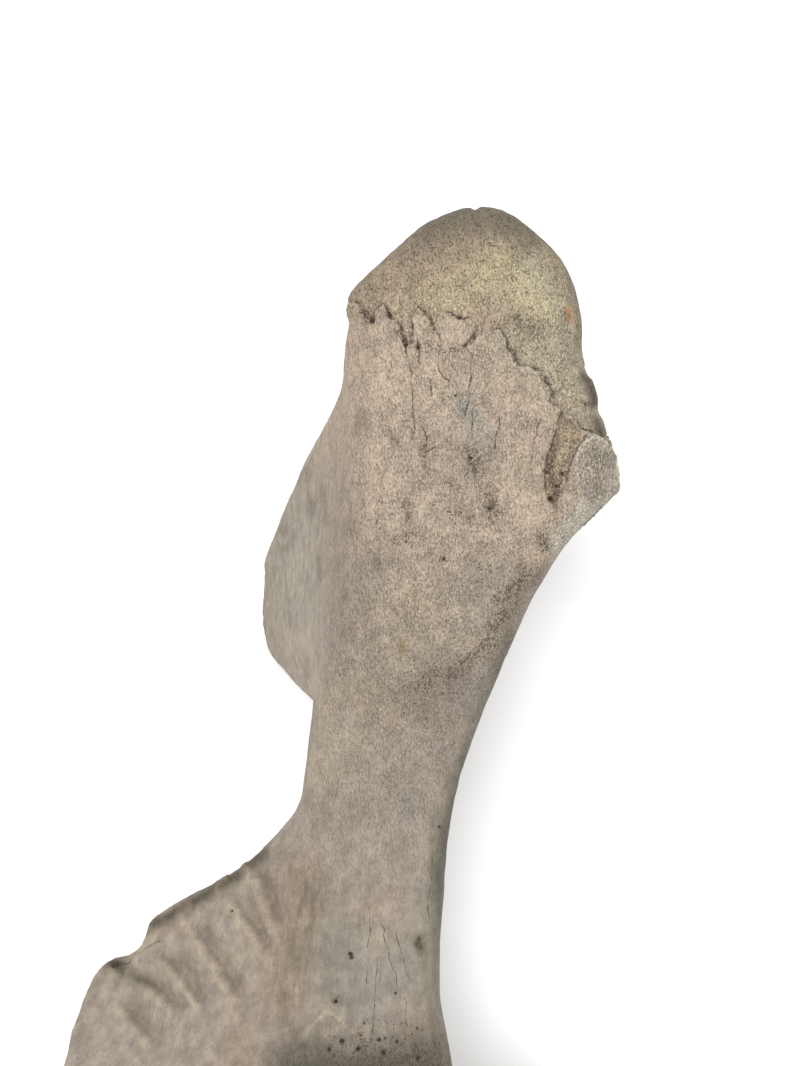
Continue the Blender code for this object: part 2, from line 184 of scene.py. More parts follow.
# Swellings and hollows that shape the outline: pixel, radius and height in millimetres.
SWELLINGS = [
    ([(590, 388), (594, 399)], 2.2, 0.3), ([(588, 352)], 7.0, -1.3), ([(591, 371)], 3.0, -1.2),
    ([(422, 232)], 9.0, 1.0),
    ([(530, 238)], 9.0, -1.0), ([(475, 206)], 1.5, -1.0), ([(601, 410)], 3.5, -1.0),
    ([(592, 520)], 8.0, -1.0), ([(342, 315)], 6.0, -0.8), ([(420, 943)], 2.2, -1.4),
    ([(300, 1043), (318, 1020), (327, 1012), (336, 1016), (344, 1026)], 1.3, 0.8),
    ([(280, 1052), (294, 1047)], 1.5, 0.6), ([(312, 1050)], 5.0, -0.8), ([(318, 465)], 8.0, 0.6),
    ([(262, 590)], 8.0, -0.4), ([(560, 520)], 5.0, 0.5), ([(614, 489)], 2.4, 0.8),
    ([(118, 971), (136, 955), (160, 940)], 1.2, 0.4), ([(345, 900), (338, 1000)], 6.0, -0.8),
]

# Colours as they look under the lamps, as linear red, green and blue. The bone's own are this share of them.
LAMP_SHARE = np.array([0.82, 0.805, 0.78])
SHELL_TAN = (0.56, 0.45, 0.345)
SHELL_GREY = (0.345, 0.295, 0.245)
LILAC_GREY = (0.315, 0.285, 0.25)
COOL_GREY = (0.37, 0.335, 0.28)
CREAM = (0.53, 0.44, 0.315)
PALE_RIM = (0.60, 0.54, 0.42)
# The next colour is that of dark smudges, and also of painted shade in the spine's rib grooves.
SMUDGE_AND_SHADE = (0.20, 0.165, 0.13)
BLUISH = (0.355, 0.345, 0.31)
OLIVE = (0.20, 0.175, 0.13)
GREEN_GREY = (0.20, 0.195, 0.155)
CAP_TAN = (0.43, 0.34, 0.235)
CAP_YELLOW = (0.56, 0.475, 0.30)
CAP_GREEN = (0.46, 0.43, 0.315)
RUST = (0.45, 0.23, 0.09)
PEACH = (0.44, 0.325, 0.24)
FIBRE_BROWN = (0.53, 0.41, 0.26)
DARK_BROWN = (0.10, 0.075, 0.05)
FACET_GREY = (0.47, 0.43, 0.36)
FACET_RIM = (0.74, 0.68, 0.55)
CREVICE_DARK = (0.055, 0.042, 0.030)

# Broad and small stains, and some bands of painted shade and painted highlight: path of photo pixels, radius
# in millimetres, colour and strength.
STAINS = [
    ([(372, 380), (450, 360), (530, 420)], 28, SHELL_TAN, 0.95),
    ([(360, 335), (364, 430), (372, 520)], 8, (0.54, 0.425, 0.325), 0.85),
    ([(520, 420), (530, 520)], 9, SHELL_TAN, 0.6),
    ([(390, 470), (460, 540), (540, 500)], 24, SHELL_TAN, 0.75),
    ([(420, 600), (400, 660)], 16, CREAM, 0.30),
    ([(345, 480), (340, 560), (350, 640)], 7, (0.42, 0.335, 0.26), 0.6),
    # A dark band along the cap's upper edge.
    ([(428, 226), (452, 217), (474, 213), (500, 220), (528, 236)], 11.0, (0.165, 0.145, 0.105), 0.98),
    ([(482, 214), (492, 218)], 4.0, SMUDGE_AND_SHADE, 0.6),
    ([(360, 290), (385, 275), (420, 268)], 9, (0.40, 0.305, 0.21), 0.7),
    ([(352, 296), (380, 262), (412, 236)], 3.0, OLIVE, 0.45),
    ([(400, 263), (426, 240)], 2.5, OLIVE, 0.35),
    ([(440, 300), (480, 285), (505, 262), (520, 272)], 9, CAP_YELLOW, 0.7),
    ([(530, 262), (552, 300), (566, 350), (584, 400)], 6, CAP_GREEN, 0.85),
    ([(510, 335), (525, 352), (548, 366)], 5, CAP_GREEN, 0.6),
    ([(500, 300), (520, 330), (560, 380)], 9, (0.46, 0.41, 0.285), 0.5),
    ([(524, 285), (538, 315)], 7, (0.58, 0.51, 0.325), 0.65),
    ([(515, 318), (535, 332)], 4, SMUDGE_AND_SHADE, 0.3),
    ([(478, 316), (492, 326)], 3, PEACH, 0.7),
    ([(568, 312), (570, 318)], 1.5, RUST, 0.9),
    ([(569, 250), (576, 300), (583, 345)], 1.6, SMUDGE_AND_SHADE, 0.45),
    ([(587, 377), (591, 388), (595, 403)], 2.2, (0.07, 0.055, 0.035), 0.97),
    ([(596, 420), (602, 434), (609, 447)], 1.7, (0.09, 0.08, 0.055), 0.95),
    ([(560, 408), (574, 416), (588, 420)], 2.2, (0.40, 0.36, 0.25), 0.6),
    ([(462, 405), (486, 428), (492, 455)], 3.2, BLUISH, 0.7),
    ([(468, 395), (480, 440)], 5, BLUISH, 0.4),
    ([(500, 420), (540, 440)], 8, (0.47, 0.38, 0.31), 0.5),
    ([(358, 416), (357, 432)], 1.8, SMUDGE_AND_SHADE, 0.5),
    ([(364, 414), (366, 424)], 1.6, SMUDGE_AND_SHADE, 0.45),
    ([(392, 434), (398, 446)], 1.8, SMUDGE_AND_SHADE, 0.4),
    ([(335, 560), (345, 600)], 3.0, SMUDGE_AND_SHADE, 0.3),
    ([(330, 700), (350, 690)], 6, CREAM, 0.3),
    ([(376, 556), (377, 568)], 2.0, SMUDGE_AND_SHADE, 0.5),
    ([(351, 515), (351, 535)], 1.8, (0.26, 0.19, 0.13), 0.45),
    ([(401, 645), (404, 650)], 1.6, (0.25, 0.18, 0.08), 0.85),
    ([(395, 600), (426, 598), (450, 612)], 6, CREAM, 0.5),
    ([(462, 645), (478, 640)], 3.0, CREAM, 0.6),
    ([(460, 590), (500, 570)], 8, COOL_GREY, 0.5),
    ([(300, 500), (288, 560), (290, 620)], 11, COOL_GREY, 0.85),
    ([(312, 640), (300, 600), (300, 560)], 5, (0.43, 0.39, 0.32), 0.6),
    ([(300, 640), (312, 680)], 7, (0.45, 0.39, 0.315), 0.8),
    ([(312, 512), (313, 502)], 2.0, SMUDGE_AND_SHADE, 0.75),
    ([(324, 494), (325, 522)], 1.7, SMUDGE_AND_SHADE, 0.5),
    ([(334, 520), (333, 545)], 1.5, SMUDGE_AND_SHADE, 0.35),
    ([(279, 520), (286, 530)], 2.4, SMUDGE_AND_SHADE, 0.5),
    ([(284, 548)], 2.2, SMUDGE_AND_SHADE, 0.6),
    ([(319, 558), (320, 580)], 1.1, SMUDGE_AND_SHADE, 0.7),
    ([(300, 480), (308, 470)], 2.4, SMUDGE_AND_SHADE, 0.35),
    ([(306, 575), (308, 590)], 1.5, SMUDGE_AND_SHADE, 0.35),
    ([(290, 600), (292, 622)], 2.6, SMUDGE_AND_SHADE, 0.25),
    ([(306, 660), (307, 676)], 1.8, (0.27, 0.20, 0.16), 0.6),
    ([(552, 515), (542, 545), (530, 575)], 3, PEACH, 0.7),
    ([(550, 530), (542, 560)], 3.0, CREAM, 0.6),
    # A pale band along the horn's lower ridge: pale bone, with painted highlight along the ridge.
    ([(602, 500), (578, 518), (558, 545)], 4.2, (0.64, 0.61, 0.52), 0.9),
    ([(612, 487), (616, 494)], 1.3, (0.24, 0.18, 0.12), 0.7),
    ([(390, 760), (400, 800), (390, 850)], 13, LILAC_GREY, 0.5),
    ([(410, 700), (430, 700), (450, 720)], 7, SMUDGE_AND_SHADE, 0.3),
    ([(365, 700), (388, 725)], 10, (0.42, 0.345, 0.26), 0.5),
    ([(426, 663), (456, 684)], 4, SMUDGE_AND_SHADE, 0.35),
    # Painted shade: dark bands along the right edge of the neck and below the horn, where the bone's steep
    # side is in shade.
    ([(509, 632), (494, 690), (472, 760)], 2.4, (0.14, 0.135, 0.10), 0.65),
    ([(468, 760), (446, 840), (433, 930), (432, 985)], 3.0, (0.10, 0.097, 0.07), 0.85),
    ([(446, 820), (434, 900), (430, 985)], 3.0, (0.15, 0.145, 0.11), 0.35),
    ([(545, 565), (525, 590), (505, 625)], 1.8, GREEN_GREY, 0.5),
    ([(344, 885), (340, 920), (344, 950)], 2.0, (0.27, 0.21, 0.13), 0.4),
    ([(300, 880), (290, 940), (282, 1000)], 9, (0.315, 0.235, 0.175), 0.75),
    ([(308, 930), (302, 958)], 3.2, (0.22, 0.18, 0.11), 0.35),
    ([(312, 905), (316, 935)], 2.0, (0.30, 0.22, 0.13), 0.5),
    ([(243, 1040), (235, 1060)], 6, (0.32, 0.24, 0.17), 0.65),
    # Painted shade: a dark band along the spine's upper edge, where its face turns away.
    ([(150, 924), (176, 912), (206, 894), (241, 872), (263, 852)], 2.8, (0.08, 0.07, 0.05), 0.92),
    ([(148, 928), (140, 946), (130, 958)], 1.3, SMUDGE_AND_SHADE, 0.7),
    ([(172, 925), (178, 918)], 1.3, SMUDGE_AND_SHADE, 0.6),
    ([(105, 975), (85, 1010), (75, 1050)], 2.0, OLIVE, 0.45),
    ([(128, 962), (150, 940)], 1.6, CREAM, 0.4),
    ([(112, 962), (124, 966)], 2.6, (0.06, 0.055, 0.025), 0.95),
    ([(124, 970), (136, 979), (150, 985)], 3.0, (0.09, 0.085, 0.06), 0.9),
    ([(175, 1000), (120, 1030), (95, 1060)], 12, LILAC_GREY, 0.4),
    # The shaft's base: grey bone, darkest in its shallow hollow, where the dark is painted shade.
    ([(345, 940), (370, 1000), (400, 960)], 11, (0.285, 0.27, 0.235), 0.8),
    ([(330, 890), (326, 960), (330, 1000)], 4, GREEN_GREY, 0.35),
    ([(345, 968), (352, 1000)], 6, (0.24, 0.23, 0.195), 0.6),
    ([(420, 880), (424, 920)], 5, LILAC_GREY, 0.4),
    ([(425, 900), (432, 960), (428, 1000)], 3, (0.36, 0.33, 0.25), 0.6),
    # A pale crusty ridge, with painted highlight along its top.
    ([(290, 1049), (318, 1020), (327, 1012), (336, 1016), (344, 1026)], 1.0, CREAM, 0.6),
    ([(295, 1066), (360, 1067), (425, 1064)], 10, (0.062, 0.059, 0.049), 0.97),
    ([(300, 1052), (316, 1046)], 4, (0.13, 0.125, 0.10), 0.8),
    ([(312, 1024), (334, 1022)], 2.4, GREEN_GREY, 0.5),
    ([(334, 1000), (340, 1000)], 2.5, GREEN_GREY, 0.5),
    ([(342, 1042)], 2.0, GREEN_GREY, 0.5),
    ([(398, 1046), (412, 1044), (425, 1050)], 4.6, (0.11, 0.105, 0.08), 0.75),
    ([(420, 939), (421, 948)], 1.9, (0.12, 0.11, 0.08), 0.9),
]

# Places with streaks, mottles or grit of their own: path of photo pixels and radius in millimetres.
SPINE_ROOT = ([(304, 885), (298, 940), (285, 1000)], 9)
LOW_WING = ([(350, 650), (415, 690), (470, 665)], 15)
INNER_WING = ([(318, 470), (302, 530), (288, 610)], 11)
HORN_EDGE = ([(598, 506), (575, 522), (552, 550), (530, 588)], 4.5)

# Places where dark pits crowd together: path of photo pixels, radius in millimetres and density.
PIT_PATCHES = [
    ([(470, 455), (474, 468)], 4.0, 1.0), ([(491, 496), (492, 512)], 3.4, 1.0), ([(450, 484)], 2.8, 0.8),
    ([(418, 484)], 2.2, 0.6), ([(406, 505), (408, 516)], 2.4, 0.7), ([(432, 508)], 2.4, 0.7),
    ([(450, 512), (470, 520)], 3.6, 0.55), ([(444, 559)], 1.5, 1.0), ([(409, 535), (397, 540)], 2.6, 0.6),
    ([(380, 500), (378, 540)], 2.6, 0.4), ([(397, 441)], 2.2, 0.7), ([(423, 447), (424, 462)], 1.8, 0.7),
    ([(552, 500), (556, 506)], 1.6, 0.8), ([(540, 535), (545, 548)], 2.4, 0.9), ([(376, 562)], 2.6, 0.6),
    ([(500, 600), (515, 590), (525, 575)], 3.6, 0.8), ([(492, 628), (505, 612)], 3.2, 0.9),
    ([(450, 675), (480, 650), (495, 640)], 3.8, 0.7), ([(415, 690), (435, 670)], 3.6, 0.55),
    ([(345, 600), (341, 632), (354, 645)], 2.2, 0.3), ([(335, 676), (350, 660)], 2.4, 0.5),
    ([(418, 345), (440, 352), (460, 350)], 2.6, 0.65), ([(515, 318), (535, 326)], 3.0, 0.65),
    ([(401, 260), (405, 268)], 2.4, 0.7), ([(424, 240), (430, 246)], 2.2, 0.6), ([(432, 690)], 4.0, 0.5),
    ([(548, 462), (555, 480), (556, 498)], 2.2, 0.9), ([(592, 450), (606, 470), (598, 490)], 3.4, 0.4),
    ([(300, 1062), (360, 1062), (420, 1058)], 4.0, 0.2),
    ([(420, 940), (421, 947)], 1.8, 1.0), ([(336, 1002)], 2.2, 0.5),
    ([(362, 312), (372, 322)], 1.3, 1.0), ([(386, 310), (392, 322)], 1.2, 0.8), ([(432, 552)], 1.6, 0.6),
    ([(400, 332), (406, 345), (413, 343)], 1.4, 1.0), ([(450, 314), (464, 320)], 1.3, 0.9),
    ([(510, 350), (520, 366)], 1.4, 0.8), ([(545, 378), (550, 388), (556, 408)], 1.5, 0.8),
    ([(470, 560), (485, 590)], 4.0, 0.4), ([(312, 508)], 2.0, 0.3), ([(588, 380), (595, 400)], 1.6, 0.9),
    ([(425, 316), (436, 334)], 1.3, 0.6), ([(562, 414), (556, 408)], 1.3, 0.7), ([(586, 405)], 1.6, 0.7),
]


# The studio: lamps by place and size in metres and power in watts, a white sky and a pale floor.
KEY_LIGHT = {"place": (-0.09, -0.28, 1.65), "size": 0.36, "power": 12.5}
FILL_LIGHT = {"place": (-1.2, 1.3, 1.6), "size": 1.6, "power": 7}
LAMP_TARGET = (0.03, 0.0, 0.1)
SKY_STRENGTH = 0.88
FLOOR_COLOUR = (0.95, 0.95, 0.95)
FLOOR_REACH = 4.0


def to_photo(points):
    """Photo pixels of points in millimetres, and the millimetres that one pixel covers there."""
    from_camera = points - CAMERA_PLACE
    depth = from_camera @ FORWARD
    across = PHOTO_WIDTH / 2 + FOCAL_PIXELS * (from_camera @ RIGHT) / depth
    down = PHOTO_HEIGHT / 2 - FOCAL_PIXELS * (from_camera @ UPWARD) / depth
    return np.stack([across, down], axis=1), depth / FOCAL_PIXELS


def on_bone(tree, pixel):
    """The point of the bone, in millimetres, that a photo pixel shows, or the one nearest to its ray."""
    right = RIGHT * (pixel[0] - PHOTO_WIDTH / 2) / FOCAL_PIXELS
    up = UPWARD * (PHOTO_HEIGHT / 2 - pixel[1]) / FOCAL_PIXELS
    ray = FORWARD + right + up
    hit = tree.ray_cast(Vector(CAMERA_PLACE * MM), Vector(ray).normalized())[0]
    if hit is not None:
        return np.array(hit) / MM
    reach = CAMERA_DISTANCE
    for _ in range(6):
        near = np.array(tree.find_nearest(Vector((CAMERA_PLACE + ray * reach) * MM))[0]) / MM
        reach = (near - CAMERA_PLACE) @ FORWARD
    return near


def rough(points, size, seed):
    """Smooth random values from -1 to 1 with bumps of about the given size."""
    table = np.random.default_rng(seed).uniform(-1, 1, 8192)
    scaled = points / size
    cell = np.floor(scaled).astype(np.int64)
    part = scaled - cell
    part = part * part * (3 - 2 * part)
    total = np.zeros(len(points))
    for corner in np.ndindex(2, 2, 2):
        near = cell + corner
        slot = (near[:, 0] * 73856093 ^ near[:, 1] * 19349663 ^ near[:, 2] * 83492791) % len(table)
        weight = np.prod(np.where(corner, part, 1 - part), axis=1)
        total += weight * table[slot]
    return total


def layered(points, size, seed, layers=3):
    """Bumps of the given size with finer and weaker ones on top."""
    total = np.zeros(len(points))
    for k in range(layers):
        total += rough(points, size / 2**k, seed + k) / 2**k
    return total / 1.5


def ease(value, low, high):
    """0 below low, 1 above high and a smooth rise between them."""
    t = np.clip((value - low) / (high - low), 0, 1)
    return t * t * (3 - 2 * t)


def bell(value, width):
    """1 where the value is 0, falling off on both sides."""
    return np.exp(-((value / width) ** 2))


def path_offset(points, path):
    """Distance of each point from an open path, and 1 or -1 for the side of the path that it is on.

    A path of one point is that point, and has no sides.
    """
    path = np.asarray(path, float)
    if len(path) == 1:
        return np.linalg.norm(points - path[0], axis=1), np.zeros(len(points))
    found = np.full(len(points), np.inf)
    side = np.zeros(len(points))
    for start, end in zip(path[:-1], path[1:]):
        along = end - start
        offset = points - start
        t = np.clip(offset @ along / (along @ along), 0, 1)
        distance = np.linalg.norm(offset - t[:, None] * along, axis=1)
        turn = np.sign(along[0] * offset[:, 1] - along[1] * offset[:, 0])
        side = np.where(distance < found, turn, side)
        found = np.minimum(found, distance)
    return found, side


def path_distance(points, path):
    return path_offset(points, path)[0]


def inside_outline(points, outline):
    """Distance from a closed outline in the photo, in pixels, positive inside it."""
    outline = np.asarray(outline, float)
    inside = np.zeros(len(points), bool)
    for start, end in zip(outline, np.roll(outline, -1, axis=0)):
        crosses = (start[1] > points[:, 1]) != (end[1] > points[:, 1])
        slope = (end[0] - start[0]) / (end[1] - start[1] or 1)
        inside ^= crosses & (points[:, 0] < start[0] + (points[:, 1] - start[1]) * slope)
    distance = path_distance(points, np.concatenate([outline, outline[:1]]))
    return np.where(inside, distance, -distance)


def faces_the_photo(points, normals):
    """1 on the side of the bone that the photograph shows, 0 on the other."""
    below_photo = to_photo(points)[0][:, 1] - PHOTO_HEIGHT
    turned_to_camera = ease(normals @ -FORWARD, TURN_START, TURN_END)
    return turned_to_camera * (1 - ease(below_photo, FADE_START, FADE_END))


def vertex_array(piece, kind):
    values = np.empty(len(piece.data.vertices) * 3, np.float32)
    piece.data.vertices.foreach_get(kind, values)
    return values.reshape(-1, 3).astype(float)


def set_points(piece, points):
    piece.data.vertices.foreach_set("co", (points * MM).astype(np.float32).ravel())
    piece.data.update()


def smooth_facets(piece):
    """Takes the solid's facets away and keeps its size: each shrinking step has a growing one after it."""
    points = vertex_array(piece, "co") / MM
    edges = np.empty(len(piece.data.edges) * 2, np.int32)
    piece.data.edges.foreach_get("vertices", edges)
    ends = np.concatenate([edges, edges.reshape(-1, 2)[:, ::-1].ravel()]).reshape(-1, 2)
    count = np.bincount(ends[:, 0], minlength=len(points))[:, None]
    for step in range(2 * SMOOTH_ROUNDS):
        near = [np.bincount(ends[:, 0], points[ends[:, 1], k], len(points)) for k in range(3)]
        share = -0.53 if step % 2 else 0.5
        points += share * (np.stack(near, axis=1) / count - points)
    set_points(piece, points)


def split_faces(piece, wanted):
    """Halves the edges of the faces that are wanted, given their middles and normals."""
    work = bmesh.new()
    work.from_mesh(piece.data)
    middles = np.array([face.calc_center_median() for face in work.faces]) / MM
    normals = np.array([face.normal for face in work.faces])
    chosen = wanted(middles, normals)
    edges = {edge for face, keep in zip(work.faces, chosen) if keep for edge in face.edges}
    bmesh.ops.subdivide_edges(work, edges=list(edges), cuts=1, use_grid_fill=True)
    bmesh.ops.triangulate(work, faces=[face for face in work.faces if len(face.verts) > 4])
    work.to_mesh(piece.data)
    work.free()


def has_fine_marks(middles, normals):
    """The faces at the cap's ragged border, in the groove, on the horn, round holes and along cracks."""
    pixels = to_photo(middles)[0]
    near = np.abs(inside_outline(pixels, CAP_BORDER + CAP_OUTSIDE)) < 8
    near |= inside_outline(pixels, GROOVE) > -5
    near |= inside_outline(pixels, HORN_FACET) > -5
    for pixel, radius in HOLES:
        near |= np.linalg.norm(pixels - pixel, axis=1) < 5 + 4 * radius
    for path in CRACKS:
        near |= path_distance(pixels, path) < 5
    return near & (faces_the_photo(middles, normals) > 0.5)


def fine_copy(node):
    """A copy of a solid with small even faces and no facets, finer on the photographed side."""
    piece = bpy.data.objects.new("bone_surface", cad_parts[node].data.copy())
    bpy.context.scene.collection.objects.link(piece)
    remesh = piece.modifiers.new("Even faces", "REMESH")
    remesh.mode = "VOXEL"
    remesh.voxel_size = COARSE_STEP * MM
    graph = bpy.context.evaluated_depsgraph_get()
    piece.data = bpy.data.meshes.new_from_object(piece.evaluated_get(graph))
    piece.modifiers.clear()
    smooth_facets(piece)
    split_faces(piece, lambda middles, normals: faces_the_photo(middles, normals) > 0.5)
    split_faces(piece, has_fine_marks)
    return piece


def add_attribute(piece, name, values):
    """Stores one number, vector or colour for each point of the mesh."""
    kinds = {1: ("FLOAT", "value"), 3: ("FLOAT_VECTOR", "vector"), 4: ("FLOAT_COLOR", "color")}
    kind, field = kinds[1 if values.ndim == 1 else values.shape[1]]
    layer = piece.data.attributes.new(name, kind, "POINT")
    layer.data.foreach_set(field, values.astype(np.float32).ravel())


class Surface:
    """What the bone is like at each of its points: where on the bone it is, and how far from each mark."""

    def __init__(self, piece, tree):
        self.points = vertex_array(piece, "co") / MM
        self.normals = vertex_array(piece, "normal")
        self.tree = tree
        self.pixels, self.pixel_size = to_photo(self.points)
        self.shown = faces_the_photo(self.points, self.normals)
        self.warp = np.stack([layered(self.points, 2.2, seed, 4) for seed in (11, 21)], axis=1)
        self.sway = np.stack([layered(self.points, 3.0, seed) for seed in (12, 22)], axis=1)
        depth = self.pixel_size[:, None] * FOCAL_PIXELS
        self.seen = np.concatenate([self.pixels * PIXEL_MM, depth * DEPTH_SHARE], axis=1)
        self.tail = (self.points - SOCKET_CENTRE) @ TAIL
        self.cap = self.cap_depth()
        self.groove = self.outlined(GROOVE, 0.25)
        self.facet = self.outlined(HORN_FACET, 0.45)
        self.facet_rim = self.shown * ease(HORN_FACET[8][1] - self.pixels[:, 1], -10, 35)
        self.socket_height = (self.points - SOCKET_CENTRE) @ SOCKET_AXIS
        from_axis = self.points - SOCKET_CENTRE - self.socket_height[:, None] * SOCKET_AXIS
        self.socket_reach = np.linalg.norm(from_axis, axis=1)
        self.joint = self.joint_faces()
        clefts = [(CRACKS, 0.8, 1.0), (CREVICES, 0.4, 2.0)]
        self.clefts = self.crack_lines(clefts)[0]
        self.cracks, self.crack_side = self.crack_lines(clefts + [(HAIRLINES, 1.0, 0.65)])
        self.fibres = self.groove_fibres()
        self.rib_groove, self.rib_crest = self.rib_shapes()
        self.holes = self.hole_distance()

    def outlined(self, outline, waviness):
        """Millimetres inside an outline of the photo, on the photographed side only."""
        inside = inside_outline(self.pixels + self.warp * waviness / 0.3, outline) * self.pixel_size
        return np.where(self.shown > 0.5, inside, -20)

    def cap_depth(self):
        """Millimetres inside the porous ends of the bone: the wing's outer corner and the ischial tuber."""
        ragged = self.pixels + self.warp * 3.0
        outer_corner = inside_outline(ragged, CAP_BORDER + CAP_OUTSIDE) * self.pixel_size
        tuber = self.tail - TUBER_START + 5 * layered(self.points, 9, 41)
        return np.clip(np.maximum(outer_corner, tuber), -FAR, FAR)

    def joint_faces(self):
        """1 on the rough faces that met the sacrum and the other hip bone."""
        inner = 1 - ease(np.linalg.norm((self.points - INNER_CORNER) * (1, 0.7, 0.6), axis=1), 14, 22)
        inner *= ease(-self.normals[:, 0] * 0.4 - self.normals[:, 2], -0.2, 0.4)
        low = (1 - ease(self.points[:, 2], 3, 6)) * ease(-self.points[:, 1], 0, 20)
        return np.maximum(inner, low)

    def rib_shapes(self):
        """1 in the grooves between the spine's ribs, steep on their left side, and 1 on the crests there."""
        groove = np.zeros(len(self.points))
        crest = np.zeros(len(self.points))
        for path in RIB_GROOVES:
            columns, rows = np.array(path).T
            side = np.sign(self.pixels[:, 0] - np.interp(self.pixels[:, 1], rows, columns))
            offset = self.distance_to([path], 0.9) * side
            taper = ease(self.distance_to([path[:1], path[-1:]]), 0, 6)
            groove = np.maximum(groove, taper * bell(offset, np.where(offset < 0, 1.1, 3.4)))
            crest = np.maximum(crest, taper * bell(offset + 3.2, 1.7))
        return groove * self.shown, crest * self.shown

    def groove_fibres(self):
        """Random streaks, from -1 to 1, along the groove beside the horn."""
        across = (self.pixels @ (0.968, 0.25)) * PIXEL_MM
        along = (self.pixels @ (-0.25, 0.968)) * PIXEL_MM
        return layered(np.stack([across, along * 0.2, 0 * along], axis=1), 1.1, 6)

    def mark_place(self, pixel):
        """Where a photo pixel is, in the space that marks are measured in."""
        depth = (on_bone(self.tree, pixel) - CAMERA_PLACE) @ FORWARD
        return np.array([pixel[0] * PIXEL_MM, pixel[1] * PIXEL_MM, depth * DEPTH_SHARE])

    def offset_from(self, path, waviness=0.0):
        """Distance in millimetres from a path of photo pixels, on the side of the bone that the photo shows,
        and 1 or -1 for the side of the path."""
        seen = self.seen + waviness * np.concatenate([self.sway, 0 * self.seen[:, 2:]], axis=1)
        distance, side = path_offset(seen, [self.mark_place(pixel) for pixel in path])
        return np.where(self.shown > 0.2, distance, FAR), side

    def distance_to(self, paths, waviness=0.0):
        """Distance in millimetres from the nearest of several paths of photo pixels."""
        return np.min([self.offset_from(path, waviness)[0] for path in paths], axis=0)

    def crack_lines(self, kinds):
        """Distance from the nearest crack as a share of its width, and the same with a sign for its side.

        Each kind is a list of paths with its waviness and width. The signed value runs straight through 0
        on a crack, so a crack stays a fine line between the points of the mesh.
        """
        found = np.full(len(self.points), FAR)
        signed = found.copy()
        for paths, waviness, width in kinds:
            for path in paths:
                distance, side = self.offset_from(path, waviness)
                signed = np.where(distance / width < found, side * distance / width, signed)
                found = np.minimum(found, distance / width)
        return found, signed

    def hole_distance(self):
        """Distance from the nearest small hole, as a share of that hole's radius."""
        found = np.full(len(self.points), FAR)
        for pixel, radius in HOLES:
            found = np.minimum(found, self.distance_to([[pixel]], 0.15) / radius)
        return found

    def near(self, path, radius):
        """1 at a path of photo pixels, falling to 0 over the radius, with a ragged edge."""
        return bell(self.distance_to([path]) * (1 + 0.35 * self.warp[:, 0]), radius * 0.85)


def surface_height(at):
    """How far each point is pushed out along its normal, in millimetres."""
    points = at.points
    height = 0.45 * layered(points, 24, 1) + 0.16 * layered(points, 7, 2)
    shell = ease(-at.cap, 0.0, 0.5)
    height += shell * 0.06 * layered(points * (1, 0.3, 1), 2.0, 3)
    height += (1 - shell) * (0.15 * layered(points, 2.2, 4) - 0.15)
    lip = ease(at.cap, -8, -0.5) * ease(-at.cap, -0.1, 0.3)
    height += (0.65 + 0.3 * layered(points, 5, 5)) * lip
    height -= 0.35 * bell(at.cap - 0.5, 0.7)
    height += ease(at.groove, -0.2, 0.9) * (-2.0 + 0.7 * at.fibres)
    height += at.facet_rim * (1.1 * ease(at.facet, -0.9, 0.2) + 0.4 * bell(at.facet - 0.5, 0.6))
    height += 0.8 * at.rib_crest - 2.0 * at.rib_groove
    height -= 0.4 * bell(at.clefts, 0.35)
    height -= 1.3 * bell(at.holes, 1.0)
    for path, radius, rise in SWELLINGS:
        height += rise * at.near(path, radius)
    height += at.joint * (0.7 * layered(points, 4.5, 8) - 0.3)
    pit = 1 - ease(at.socket_reach, 13, 17)
    height += pit * (0.6 * layered(points, 4, 9) - 0.2)
    outside_rim = bell(at.socket_reach - 44, 6) * ease(at.socket_height, -22, -6)
    return height + outside_rim * 0.55 * layered(points, 5, 10)


def displace(piece, at):
    """Moves the surface, and keeps it just inside the solid's box."""
    moved = at.points + at.normals * surface_height(at)[:, None]
    inset = 0.02
    low, high = np.array(CAD_BOX) / MM
    set_points(piece, np.clip(moved, low + inset, high - inset))


def tinted(tone, colour, amount):
    """Moves the colours of all points towards one colour by each point's amount."""
    return tone + (np.array(colour) - tone) * np.clip(amount, 0, 1)[:, None]


